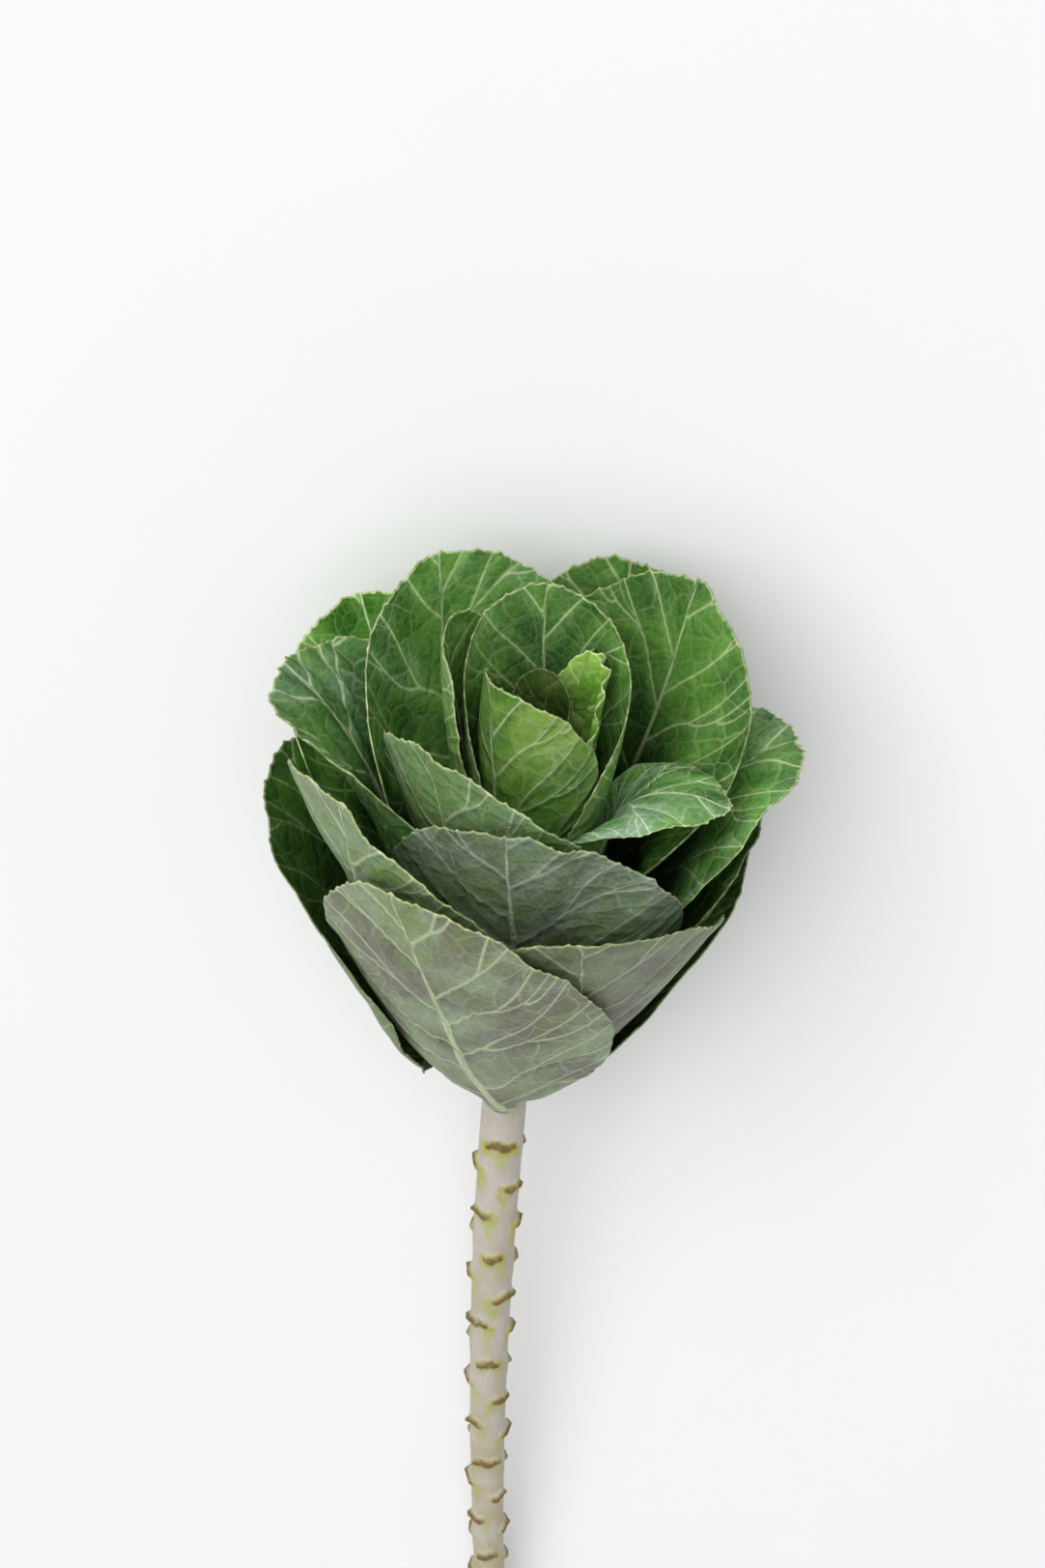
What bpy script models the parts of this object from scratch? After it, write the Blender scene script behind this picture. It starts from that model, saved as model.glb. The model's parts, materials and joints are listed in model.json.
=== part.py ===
"""An ornamental cabbage on its cut stem, lying on a broad back leaf and the stem's cut end.

The plant is worked out upright, in millimetres: Z runs up the stem, -Y is the front of the head
and the stem passes into the head at Z = 0. Each leaf is a curved blade on a stalk. The leaves are
taken from the heart outwards, and each one is bent clear of those inside it. The whole plant is
then tipped onto its back and set down, with the middle of its footprint at the world's origin.
"""

from typing import NamedTuple

import bpy
import numpy as np

MM = 0.001  # metres in a millimetre

# Stem
STEM_BELOW = 250.0  # from the head's foot down to the cut
CROWN_HEIGHT = 78.0  # how far the stem runs up inside the head
STEM_FOOT_RADIUS = 4.2
STEM_NECK_RADIUS = 5.6  # just below the head
STEM_CROWN_RADIUS = 3.5
STEM_TIP_DOME = 5.0  # height of the rounded tip, above CROWN_HEIGHT
STEM_TAPER = 220.0  # the stem thickens over this length, up to the head
STEM_BOW = 15.0  # sideways, at the cut end
STEM_SIDES = 16
SCAR_PITCH = 5.0  # each old leaf scar is this far below the last
SCAR_TURN = 3 / 8  # of a turn from one scar to the next
SCAR_OUT = 1.2
SCAR_HALF_HEIGHT = 1.1
SCAR_HALF_TURN = 0.45  # in radians
SCAR_TAIL = (0.35, 2.4, 1.6)  # its share of SCAR_OUT, how far below the scar it is and its half height
SCAR_TOP = -9.0  # height of the highest scar

# Blades
BLADE_THICKNESS = 0.8
STALK_WIDTH = 7.0
STALK_SHARE = 0.13  # of the leaf's length
STALK_ROWS = 0.14  # share of the rows of points that the stalk takes
STALK_DEPTH = 2.0  # added behind the stalk, and fading up the midrib
RIB_HALF_WIDTH = 2.6
RIB_DEPTH = 0.9
BROADNESS = 0.88  # how much broader a leaf is near its tip than near its stalk, from 0 to 1
FAN = 84.0  # degrees from the midrib to the last ray of the blade
WAVE_HEIGHT, WAVES = 1.2, 6.0  # the rim's low wave, and its turns to a radian of the fan
USUAL_LENGTH = 105.0  # of a leaf with ribs and a stalk of full depth
SEAT_GAP = 0.3  # between a stalk and the stem
ACROSS, ALONG = 10, 10  # cells of a large leaf
SMALL_ACROSS, SMALL_ALONG = 12, 8  # cells of a heart leaf

# How leaves lie on one another
LAYER_STEP = 1.7  # from the middle of one blade to the middle of the next
LAYER_FADE = 0.96  # what is left of a bend, one row of points further up
MAP_SECTORS, MAP_ROWS = 180, 200
MAP_FOOT = -30.0  # height of the map's lowest row, whose rows are 1 mm high
BEND_POINTS, TRACE_POINTS = 41, 201

FLAT_SPOT = 0.5  # how far the lowest leaves are pressed flat


class Leaf(NamedTuple):
    """One leaf. Angles are in degrees, and azimuth 0 is the front, 90 the right."""

    name: str
    colour: str
    azimuth: float
    base: float  # height of its seat on the stem
    length: float
    width: float
    lean: tuple  # from upright, at the root, the middle and the tip
    cup: float = 1.0  # radius of its cross section, as a share of its distance from the stem
    swing: float = 0.0  # turn of the blade on its stalk, seen from outside
    flare: tuple = (0.0, 0.0)  # how far the left and right edges roll out
    notch: float = 0.0  # how much less far the rim reaches at the tip, as a share
    bend: tuple = (0.38, 0.55)  # shares of the length where the first bend ends and the second starts


LEAVES = (
    Leaf("leaf_back_middle", "green", -176, -7, 108, 88, (64, 26, 16), cup=2.0, flare=(14, 19)),
    Leaf("leaf_left_outer", "grey_green", -115, 3, 105, 80, (58, 26, 30), swing=6),
    Leaf("leaf_back_right_low", "green", 130, 1, 98, 76, (56, 24, 16)),
    Leaf("leaf_back_left_low", "green", -152, 9, 104, 76, (54, 24, 12)),
    Leaf("leaf_front_left", "grey_green", -5, 5, 110, 72, (46, 24, 12), 1.1, -15, flare=(3, 0)),
    Leaf("leaf_front_right", "grey_green", 35, 9, 105, 88, (46, 26, 18), 1.1, -13, (0, 5), 0.08),
    Leaf("leaf_right", "green", 94, 13, 90, 66, (44, 28, 22), swing=-6),
    Leaf("leaf_left_front", "grey_green", -66, 14, 111, 78, (44, 24, 14), swing=8),
    Leaf("leaf_left_back", "green", -134, 18, 113, 78, (44, 22, 14)),
    Leaf("leaf_front_second", "grey_green", 1, 22, 106, 63, (34, 16, 18), 1.1, -3, notch=0.12),
    Leaf("leaf_back_right_tall", "green", 160, 24, 115, 50, (36, 16, 8)),
    Leaf("leaf_left_turned", "green", -98, 27, 106, 66, (38, 22, 54), swing=-4, flare=(0, -10)),
    Leaf("leaf_right_turned", "green", 108, 31, 111, 58, (38, 28, 88), 1.4, -4, (2, 4), 0.14, (0.38, 0.6)),
    Leaf("leaf_back_left_tall", "green", -151, 33, 109, 68, (32, 14, 12), cup=1.1, swing=4),
    Leaf("leaf_left_third", "grey_green", -30, 36, 93, 70, (30, 15, 10), 1.35, -8, (4, 0), 0.06),
    Leaf("leaf_right_tall", "green", 134, 37, 108, 74, (34, 22, 14), cup=1.05),
    Leaf("leaf_right_flap", "green", 70, 47, 84, 42, (14, 12, 90), 1.2, -3, (6, 10), bend=(0.36, 0.45)),
    Leaf("leaf_inner_left", "green", -113, 48, 89, 34, (24, 6, -8), cup=0.8),
    Leaf("leaf_inner_back", "green", 172, 50, 90, 72, (24, 8, 6), cup=0.9, swing=2),
    Leaf("leaf_heart_front", "yellow_green", -6, 56, 77, 58, (20, 6, -4), 0.95, -12, (0, 9)),
    Leaf("leaf_heart_right", "yellow_green", 124, 62, 68, 34, (24, 6, 4), 0.8, flare=(0, 2)),
    Leaf("leaf_heart_back", "yellow_green", -178, 68, 58, 28, (12, 0, -8), cup=0.8),
    Leaf("leaf_heart_inner", "yellow_green", 40, 72, 40, 18, (6, -2, -8), cup=0.9),
    Leaf("leaf_heart_least", "yellow_green", -110, 75, 32, 14, (6, -2, -10), cup=0.9),
)

# Base colour and roughness
FINISHES = {
    "grey_green": ((0.30, 0.36, 0.26), 0.62),
    "green": ((0.10, 0.22, 0.08), 0.55),
    "yellow_green": ((0.28, 0.44, 0.12), 0.5),
    "stem": ((0.50, 0.46, 0.42), 0.6),
}


def smooth(t):
    """A soft step from 0 to 1."""
    t = np.clip(t, 0.0, 1.0)
    return t * t * (3 - 2 * t)


def grid(across, along):
    """Points u from -1 to 1 across a leaf and v from 0 to 1 up it."""
    return np.meshgrid(np.linspace(-1, 1, across + 1), np.linspace(0, 1, along + 1), indexing="ij")


def crown_radius(z):
    """The stem's radius inside the head."""
    return STEM_NECK_RADIUS + (STEM_CROWN_RADIUS - STEM_NECK_RADIUS) * np.clip(z / CROWN_HEIGHT, 0, 1)


def flat_outline(leaf, u, v):
    """The unbent leaf: x across, y along, the angle of each ray and how far out on it a point is.

    The blade's rays fan out from the top of the stalk to an egg-shaped rim, broad end up, which is
    a little blunter by the notch. The rows of points run from the stalk's top to that rim.
    """
    stalk = STALK_SHARE * leaf.length
    scale = (leaf.length - stalk) / (1 + BROADNESS)
    ray = np.radians(FAN) * u
    reach = scale * (BROADNESS * np.cos(ray) + np.sqrt(1 - (BROADNESS * np.sin(ray)) ** 2))
    reach = reach * (1 - leaf.notch * np.exp(-((ray / 0.5) ** 2)))
    rim_x = reach * np.sin(ray) * leaf.width / 2 / scale
    rim_y = reach * np.cos(ray)
    turn = np.radians(leaf.swing)
    rim_x, rim_y = (
        rim_x * np.cos(turn) + rim_y * np.sin(turn),
        stalk + rim_y * np.cos(turn) - rim_x * np.sin(turn),
    )
    out = np.clip((v - STALK_ROWS) / (1 - STALK_ROWS), 0, 1)
    root_x = u * STALK_WIDTH / 2
    x = root_x + (rim_x - root_x) * out
    y = np.where(v < STALK_ROWS, stalk * v / STALK_ROWS, stalk + (rim_y - stalk) * out)
    return x, y, ray, out


def midline(leaf):
    """Distance along the midrib, and its radius, height and lean there, by adding up short steps."""
    lean_root, lean_middle, lean_tip = np.radians(leaf.lean)
    first, second = leaf.bend
    along = np.linspace(0, 1.1 * leaf.length, 400)
    share = along / leaf.length
    lean = (
        lean_root
        + (lean_middle - lean_root) * smooth(share / first)
        + (lean_tip - lean_middle) * smooth((share - second) / (1 - second))
    )
    step = along[1]
    seat = crown_radius(leaf.base) + SEAT_GAP + BLADE_THICKNESS / 2 * np.cos(lean_root)
    radius = seat + np.concatenate([[0], np.cumsum(np.sin(lean[:-1]) * step)])
    height = leaf.base + np.concatenate([[0], np.cumsum(np.cos(lean[:-1]) * step)])
    return along, radius, height, lean


def blade_middle(leaf, u, v):
    """The blade's middle surface before it is bent clear of the others.

    Each row across is an arc round the plant's axis, whose radius is the cup share of the midrib's
    distance from it. The edges roll out by the flare, growing with the square of the distance from
    the midrib, and the rim has a low wave.
    """
    x, y, ray, out = flat_outline(leaf, u, v)
    along, radius, height, lean = midline(leaf)
    radius, height, lean = (np.interp(y, along, values) for values in (radius, height, lean))
    arc = leaf.cup * np.maximum(radius, 6.0)
    sideways = arc * np.sin(x / arc)
    inward = arc * (1 - np.cos(x / arc))
    side = x / (leaf.width / 2)
    flare = np.where(side < 0, leaf.flare[0], leaf.flare[1])
    lift = flare * side**2 * smooth(1.3 * y / leaf.length) + WAVE_HEIGHT * np.sin(WAVES * ray) * out**3
    facing = np.radians(leaf.azimuth)
    ahead = np.array([np.sin(facing), -np.cos(facing), 0.0])
    across = np.array([np.cos(facing), np.sin(facing), 0.0])
    up = np.array([0.0, 0.0, 1.0])
    outward = ahead * np.cos(lean)[..., None] - up * np.sin(lean)[..., None]
    return (
        ahead * radius[..., None]
        + up * height[..., None]
        + across * sideways[..., None]
        - outward * (inward - lift)[..., None]
    )


def rib_depth(leaf, u, v):
    """How much thicker the leaf is behind its stalk and midrib."""
    x, _, _, out = flat_outline(leaf, u, v)
    small = leaf.length / USUAL_LENGTH
    stalk = STALK_DEPTH * small * (1 - smooth((v - 0.02) / 0.3)) * np.sqrt(1 - 0.75 * u**2)
    rib = RIB_DEPTH * small * (1 - v) * np.exp(-((x / RIB_HALF_WIDTH) ** 2))
    return np.where(out > 0, np.maximum(stalk * np.exp(-((x / 5.0) ** 2)), rib), stalk)


def map_cells(points):
    """The sector and row of the map that each point lies in."""
    turn = np.arctan2(points[..., 0], -points[..., 1]) / (2 * np.pi)
    sector = np.floor((turn % 1.0) * MAP_SECTORS).astype(int) % MAP_SECTORS
    row = np.clip(np.floor(points[..., 2] - MAP_FOOT).astype(int), 0, MAP_ROWS - 1)
    return sector, row


def neighbours(field, axis, wraps):
    """The field moved one place each way along an axis, its ends repeated unless it wraps round."""
    before, after = np.roll(field, 1, axis), np.roll(field, -1, axis)
    if not wraps:
        first = (0,) if axis == 0 else (slice(None), 0)
        last = (-1,) if axis == 0 else (slice(None), -1)
        before[first] = field[first]
        after[last] = field[last]
    return before, after


def widened(field, steps, wraps=(False, False)):
    """Each value becomes the largest within so many steps."""
    for axis in (0, 1):
        for _ in range(steps):
            field = np.maximum(field, np.maximum(*neighbours(field, axis, wraps[axis])))
    return field


def softened(field, steps):
    """Each value is averaged with its neighbours, so many times."""
    for axis in (0, 1):
        for _ in range(steps):
            before, after = neighbours(field, axis, False)
            field = (before + 2 * field + after) / 4
    return field


def read_field(field, u, v):
    """A square field over a leaf, read between its points."""
    last = field.shape[0] - 1
    a = np.clip((u + 1) / 2 * last, 0, last - 1e-9)
    b = np.clip(v * last, 0, last - 1e-9)
    i, j = a.astype(int), b.astype(int)
    a, b = a - i, b - j
    low = field[i, j] * (1 - a) + field[i + 1, j] * a
    high = field[i, j + 1] * (1 - a) + field[i + 1, j + 1] * a
    return low * (1 - b) + high * b


def moved_out(points, distance):
    """Points moved straight away from the plant's axis."""
    radius = np.hypot(points[..., 0], points[..., 1])
    scale = 1 + distance / np.maximum(radius, 1e-6)
    return points * np.stack([scale, scale, np.ones_like(scale)], -1)


def nest(leaves):
    """How far out each leaf is bent to lie on those inside it, as a field over the leaf.

    A map holds how far out the leaves placed so far reach, by direction and height. Working from
    the heart outwards, a leaf is moved out wherever the map comes within a layer of it. The bend
    fades up the leaf, and is widened and then softened by less, so that it stays enough. The map
    starts with the stem in it.
    """
    rows = MAP_FOOT + np.arange(MAP_ROWS)
    stem = np.where(rows < CROWN_HEIGHT + STEM_TIP_DOME, crown_radius(rows) - BLADE_THICKNESS / 2, 0)
    reached = np.tile(stem, (MAP_SECTORS, 1))
    bends = {}
    u, v = grid(BEND_POINTS - 1, BEND_POINTS - 1)
    fine_u, fine_v = grid(TRACE_POINTS - 1, TRACE_POINTS - 1)
    for leaf in reversed(leaves):
        points = blade_middle(leaf, u, v)
        inside = widened(reached, 1, (True, False))[map_cells(points)]
        gap = inside + LAYER_STEP - np.hypot(points[..., 0], points[..., 1])
        bend = np.where(inside > 0, np.maximum(gap, 0), 0)
        bend[:, 0] = 0
        for row in range(1, BEND_POINTS):
            bend[:, row] = np.maximum(bend[:, row], bend[:, row - 1] * LAYER_FADE)
        bends[leaf.name] = softened(widened(bend, 3), 5) * np.clip(v / 0.1, 0, 1)
        traced = moved_out(blade_middle(leaf, fine_u, fine_v), read_field(bends[leaf.name], fine_u, fine_v))
        radius = np.hypot(traced[..., 0], traced[..., 1]) + rib_depth(leaf, fine_u, fine_v)
        np.maximum.at(reached, map_cells(traced), radius)
    return bends


def leaf_faces(leaf, bends, across, along):
    """The inner and the outer face of a leaf, as two grids of points in the plant's frame."""
    u, v = grid(across, along)
    middle = moved_out(blade_middle(leaf, u, v), read_field(bends[leaf.name], u, v))
    normal = np.cross(np.gradient(middle, axis=0), np.gradient(middle, axis=1))
    normal /= np.linalg.norm(normal, axis=-1, keepdims=True)
    half = BLADE_THICKNESS / 2
    inner = middle + normal * -half
    outer = middle + normal * (half + rib_depth(leaf, u, v))[..., None]
    return inner, outer


def stem_centre(z):
    """The stem's centre line: straight inside the head, and bowed to the right below it."""
    return np.stack([STEM_BOW * (np.minimum(z, 0) / STEM_BELOW) ** 2, np.zeros_like(z), z], -1)


def scar_relief(z, turn):
    """How far the scars of fallen leaves stand out: ledges on a spiral, each with a low tail below."""
    share, below, half_height = SCAR_TAIL
    relief = np.zeros(np.broadcast(z, turn).shape)
    for count in range(int((STEM_BELOW + SCAR_TOP) / SCAR_PITCH)):
        above = z - (SCAR_TOP - count * SCAR_PITCH)
        beside = (turn - count * SCAR_TURN + 0.5) % 1.0 - 0.5
        ledge = np.exp(-((above / SCAR_HALF_HEIGHT) ** 2))
        tail = share * np.exp(-(((above + below) / half_height) ** 2))
        relief += SCAR_OUT * (ledge + tail) * np.exp(-((beside * 2 * np.pi / SCAR_HALF_TURN) ** 2))
    return relief


def stem_rings():
    """Rings of points up the stem, two to a scar below the head and few inside it, with a domed tip."""
    below = np.arange(-STEM_BELOW, -2.0, SCAR_PITCH / 2)
    inside = np.linspace(-1.0, CROWN_HEIGHT, 9)
    dome = CROWN_HEIGHT + STEM_TIP_DOME * np.sin(np.radians([30, 60]))
    z = np.concatenate([below, inside, dome])[:, None]
    turn = np.arange(STEM_SIDES)[None, :] / STEM_SIDES
    radius = STEM_FOOT_RADIUS + (STEM_NECK_RADIUS - STEM_FOOT_RADIUS) * smooth(z / STEM_TAPER + 1)
    radius = np.where(z > 0, crown_radius(z), radius)
    radius = radius * np.sqrt(1 - (np.maximum(z - CROWN_HEIGHT, 0) / STEM_TIP_DOME) ** 2)
    radius = radius + scar_relief(z, turn)
    angle = 2 * np.pi * turn
    ring = np.stack([np.sin(angle) * radius, -np.cos(angle) * radius, np.zeros_like(radius)], -1)
    return ring + stem_centre(z[:, 0])[:, None, :]


def tipped(points, angle):
    """Points turned back about X, so that the plant lies with its head towards +Y, raised by angle."""
    c, s = np.cos(angle), np.sin(angle)
    x, y, z = np.moveaxis(points, -1, 0)
    return np.stack([x, z * c + y * s, z * s - y * c], -1)


def resting_angle(leaves, stem):
    """The angle at which the lowest leaf and the stem's cut end are equally low, by halving."""
    low, high = 0.0, np.radians(30.0)
    for _ in range(40):
        angle = (low + high) / 2
        if tipped(leaves, angle)[..., 2].min() + FLAT_SPOT < tipped(stem, angle)[..., 2].min():
            low = angle
        else:
            high = angle
    return angle


def strips(across, along):
    """Triangles of a grid of points, two to a cell, always split the same way."""
    index = np.arange((across + 1) * (along + 1)).reshape(across + 1, along + 1)
    a, b, c, d = index[:-1, :-1], index[1:, :-1], index[1:, 1:], index[:-1, 1:]
    return np.concatenate([np.stack([a, b, c], -1).reshape(-1, 3), np.stack([a, c, d], -1).reshape(-1, 3)])


def closed_blade(inner, outer):
    """Points and triangles of the closed solid between a leaf's two faces."""
    across, along = inner.shape[0] - 1, inner.shape[1] - 1
    count = inner.shape[0] * inner.shape[1]
    index = np.arange(count).reshape(inner.shape[:2])
    rim = np.concatenate([index[:, 0], index[-1, 1:], index[-2::-1, -1], index[0, -2:0:-1]])
    ahead = np.roll(rim, -1)
    front = strips(across, along)
    edge = np.concatenate(
        [np.stack([rim, ahead, ahead + count], -1), np.stack([rim, ahead + count, rim + count], -1)]
    )
    points = np.concatenate([inner.reshape(-1, 3), outer.reshape(-1, 3)])
    return points, np.concatenate([front[:, ::-1], front + count, edge])


def closed_stem(rings):
    """Points and triangles of the stem: its side, and a fan of triangles over each end."""
    rows, sides = rings.shape[:2]
    index = np.arange(rows * sides).reshape(rows, sides)
    low, high = index[:-1], index[1:]
    low_next, high_next = np.roll(low, -1, 1), np.roll(high, -1, 1)
    side = [np.stack([low, low_next, high_next], -1), np.stack([low, high_next, high], -1)]
    foot, tip = rows * sides, rows * sides + 1
    ends = [
        np.stack([np.full(sides, foot), np.roll(index[0], -1), index[0]], -1),
        np.stack([np.full(sides, tip), index[-1], np.roll(index[-1], -1)], -1),
    ]
    points = np.concatenate([rings.reshape(-1, 3), rings[:1].mean(1), rings[-1:].mean(1)])
    return points, np.concatenate([part.reshape(-1, 3) for part in side + ends])


def finish(name):
    """A material with the colour and roughness of a finish."""
    colour, roughness = FINISHES[name]
    material = bpy.data.materials.new(name)
    material.use_nodes = True
    shader = material.node_tree.nodes["Principled BSDF"]
    shader.inputs["Base Color"].default_value = (*colour, 1.0)
    shader.inputs["Roughness"].default_value = roughness
    return material


def add_piece(name, points, triangles, material):
    """One named object, smooth shaded, with its place in its mesh."""
    mesh = bpy.data.meshes.new(name)
    mesh.from_pydata((points * MM).tolist(), [], triangles.tolist())
    mesh.materials.append(material)
    mesh.shade_smooth()
    mesh.update()
    piece = bpy.data.objects.new(name, mesh)
    bpy.context.scene.collection.objects.link(piece)


def main():
    for old in list(bpy.data.objects):
        bpy.data.objects.remove(old, do_unlink=True)
    bends = nest(LEAVES)
    faces = {}
    for leaf in LEAVES:
        cells = (SMALL_ACROSS, SMALL_ALONG) if leaf.length < 80 else (ACROSS, ALONG)
        faces[leaf.name] = np.stack(leaf_faces(leaf, bends, *cells))
    rings = stem_rings()

    every_leaf = np.concatenate([both.reshape(-1, 3) for both in faces.values()])
    angle = resting_angle(every_leaf, rings)
    lying_stem = tipped(rings, angle)
    drop = lying_stem[..., 2].min()
    lying = {name: tipped(both, angle) for name, both in faces.items()}
    for both in lying.values():
        both[..., 2] = np.maximum(both[..., 2], drop)
        both[0, ..., 2] = np.maximum(both[0, ..., 2], drop + BLADE_THICKNESS * 0.8)

    everything = np.concatenate([both.reshape(-1, 3) for both in [*lying.values(), lying_stem]])
    middle = (everything.max(0) + everything.min(0)) / 2
    place = np.array([middle[0], middle[1], drop])

    finishes = {name: finish(name) for name in FINISHES}
    add_piece("stem", *closed_stem(lying_stem - place), finishes["stem"])
    for leaf in LEAVES:
        inner, outer = lying[leaf.name] - place
        add_piece(leaf.name, *closed_blade(inner, outer), finishes[leaf.colour])


main()
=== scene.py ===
"""Looks of an ornamental cabbage that lies on a pale floor: toothed, veined leaves and a scarred stem.

The plant is worked out upright, in millimetres: Z runs up the stem, -Y is the front of the head
and the stem passes into the head at Z = 0. It is then laid where the frame's own stem lies.
"""

import json
from typing import NamedTuple

import bpy
import numpy as np
from bpy.props import FloatProperty, FloatVectorProperty, PointerProperty
from mathutils import Matrix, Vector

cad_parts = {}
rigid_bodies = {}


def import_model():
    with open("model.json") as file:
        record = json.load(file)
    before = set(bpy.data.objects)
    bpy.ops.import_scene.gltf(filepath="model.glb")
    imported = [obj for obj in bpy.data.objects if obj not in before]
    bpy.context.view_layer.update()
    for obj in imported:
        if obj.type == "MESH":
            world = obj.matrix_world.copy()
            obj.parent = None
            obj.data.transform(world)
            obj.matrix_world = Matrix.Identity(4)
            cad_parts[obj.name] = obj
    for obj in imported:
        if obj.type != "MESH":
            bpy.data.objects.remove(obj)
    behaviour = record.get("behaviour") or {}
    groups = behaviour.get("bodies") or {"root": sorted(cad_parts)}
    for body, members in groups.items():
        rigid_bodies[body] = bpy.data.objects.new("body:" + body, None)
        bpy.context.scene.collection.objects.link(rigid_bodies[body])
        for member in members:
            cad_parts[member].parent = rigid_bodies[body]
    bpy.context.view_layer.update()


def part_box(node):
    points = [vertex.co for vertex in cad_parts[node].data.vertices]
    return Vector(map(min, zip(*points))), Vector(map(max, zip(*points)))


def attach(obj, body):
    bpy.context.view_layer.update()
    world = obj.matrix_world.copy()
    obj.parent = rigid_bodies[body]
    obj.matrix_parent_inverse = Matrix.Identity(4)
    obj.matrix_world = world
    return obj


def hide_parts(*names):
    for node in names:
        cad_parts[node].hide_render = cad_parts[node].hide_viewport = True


bl_info = {
    "name": "Ornamental Cabbage",
    "version": (1, 0, 0),
    "blender": (4, 5, 0),
    "location": "View3D > Sidebar > Cabbage",
    "description": "Adds the leaves, the stem and the studio stage of an ornamental cabbage",
    "category": "Add Mesh",
}

MM = 0.001  # metres in a millimetre

for old in list(bpy.data.objects):
    bpy.data.objects.remove(old, do_unlink=True)
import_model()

# Stem, in the frame's own sizes
STEM_BELOW = 250.0
CROWN_HEIGHT = 78.0
STEM_FOOT_RADIUS = 4.2
STEM_NECK_RADIUS = 5.6
STEM_CROWN_RADIUS = 3.5
STEM_BOW = 15.0
STEM_TIP_DOME = 5.0
STEM_TAPER = 220.0
SCAR_PITCH = 5.0
SCAR_TURN = 3 / 8
SCAR_OUT = 1.2
SCAR_HALF_HEIGHT = 1.1
SCAR_HALF_TURN = 0.45
SCAR_TAIL = (0.35, 2.4, 1.6)
SCAR_TOP = -9.0
FRAME_STEM_SIDES = 16
FRAME_STEM_STEP = 2.5
FINE_STEM_SIDES = 80
FINE_STEM_STEP = 0.45

# Leaves, in the frame's own sizes
FRAME_BLADE = 0.8
STALK_WIDTH = 7.0
STALK_SHARE = 0.13
STALK_ROWS = 0.14
STALK_DEPTH = 2.0
RIB_HALF_WIDTH = 2.6
RIB_DEPTH = 0.9
BROADNESS = 0.88
FAN = 84.0
WAVE_HEIGHT, WAVES = 1.2, 6.0
USUAL_LENGTH = 105.0
SEAT_GAP = 0.3
LAYER_STEP = 1.7
LAYER_FADE = 0.96
MAP_SECTORS, MAP_ROWS = 180, 200
MAP_FOOT = -30.0
BEND_POINTS, TRACE_POINTS = 41, 201

# What the looks add to a leaf, in mm unless a comment says otherwise
SMALL_LENGTH = 80.0  # leaves shorter than this have fewer cells
ACROSS, ALONG = 360, 26  # cells of a large leaf
SMALL_ACROSS, SMALL_ALONG = 240, 24
TEETH = 76  # round a whole rim
TOOTH_HEIGHT = 0.95  # a little coarser than the real ones, so that they show
SCALLOP_HEIGHT = 0.7
QUILT_HEIGHT = 0.75  # how far the blade bulges between two side veins
RUFFLE_HEIGHT, RUFFLE_WAVES = 0.8, (17, 29)  # phase of its two waves to a radian of the fan
RIM_ROLL, RIM_ROLL_FROM = 0.7, 0.9  # how far, and from which share of the way out
PLEATS = {"leaf_heart_right": 1.0, "leaf_left_turned": 0.4}  # height of folds along the leaf
PLEAT_WAVES, PLEAT_BENDS = 1.25, 11.0  # phase of the folds to a mm, and mm to a phase of their bends
MIDRIB_HEIGHT, MIDRIB_AT_ROOT, MIDRIB_AT_TIP = 0.5, 1.6, 0.3  # how high, and half widths
HOLLOW_REACH, HOLLOW_LEAST = 0.92, 0.1  # painted shade near the stem: share of the way out that is darker, and the darkest
PATTERN_APART = 137.0  # between the patterns of two leaves

# Patterns of a leaf, in mm
VEIN_AT_RIB, VEIN_AT_RIM = 0.36, 0.12  # half widths of a side vein
VEIN_BROADER_OUTSIDE = 1.4  # as a share
COARSE_NET, FINE_NET = 7.0, 2.2
CLOUD, PATCH, GRAIN = 22.0, 15.0, 1.2  # the wax's grain is finer, but has to show
WANDER, WANDER_REACH = 9.0, 6.0  # length of a bend in the net, and twice how far it goes

# Patterns and scars of the stem, in mm
FIBRE, STAIN, CRUMB = 0.6, 8.0, 1.6  # real fibres are finer, but these have to show
FIBRE_STRETCH = 0.12  # 1 / how many times longer than wide a fibre is
SCAR_HALF, GREEN_HALF = 3.2, 5.0  # half widths of a scar and of the green round it
RUN_PLACE, RUN_HALF = 2.6, 1.6  # how far to one side the green runs down, and how wide
FADE_HEIGHT = 200.0  # the green fades over this height


class Tone(NamedTuple):
    """What sets one leaf's colour apart, and the painted light and shade on it."""

    green: float = 0.0  # how green an outer face is under its wax
    # painted light and shade of the whole leaf: below 1 for a leaf that lies in shade, above 1 for a lit one
    bright: float = 1.0
    wax: float = 0.08  # bloom on the inner face
    wax_outside: float = 0.3
    hollow_shade: float = 0.35  # painted shade: how much darker the inner face is near the stem, deep in the head


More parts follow.
